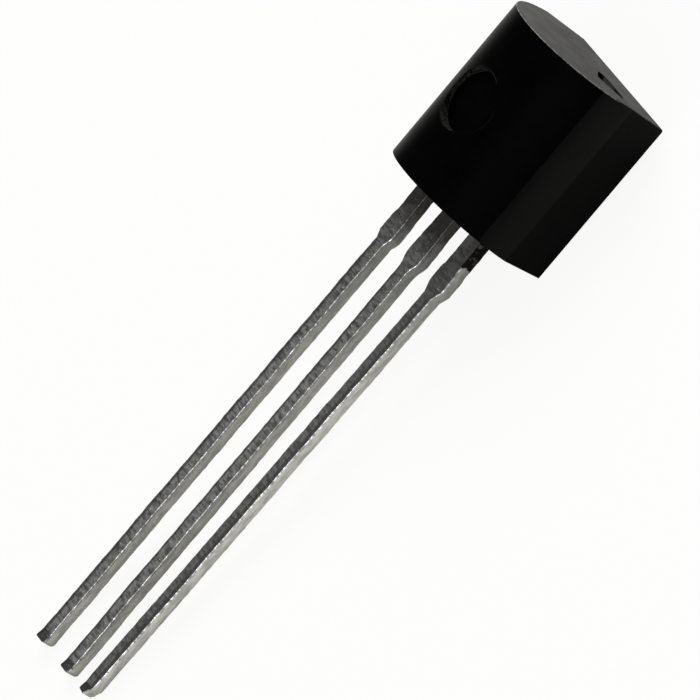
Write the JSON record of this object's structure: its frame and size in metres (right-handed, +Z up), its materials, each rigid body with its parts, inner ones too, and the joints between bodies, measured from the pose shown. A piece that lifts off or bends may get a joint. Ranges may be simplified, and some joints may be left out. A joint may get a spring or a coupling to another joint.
{
  "type": "to-92 transistor",
  "caption": "Small black moulded transistor, half round with a flat side, with straight tinned leads for soldering through a circuit board.",
  "frame": {"origin": "centre of the part's bounding box, on the surface it lies on", "axes": "+X along the length, from the lead tips towards the top of the case; +Y across the row of leads, towards the base lead; +Z up, from the surface towards the round side"},
  "size_m": [0.0196, 0.0046, 0.0039],
  "materials": {
    "case": "satin",
    "leads": "satin",
    "bond_layer": "matte",
    "silicon": "polished",
    "bond_wire": "polished"
  },
  "bodies": {
    "root": {"body": "case", "lead_emitter": "leads", "lead_collector": "leads", "lead_base": "leads", "die_attach": "bond_layer", "die": "silicon", "wire_emitter": "bond_wire", "wire_base": "bond_wire"}
  },
  "joints": []
}
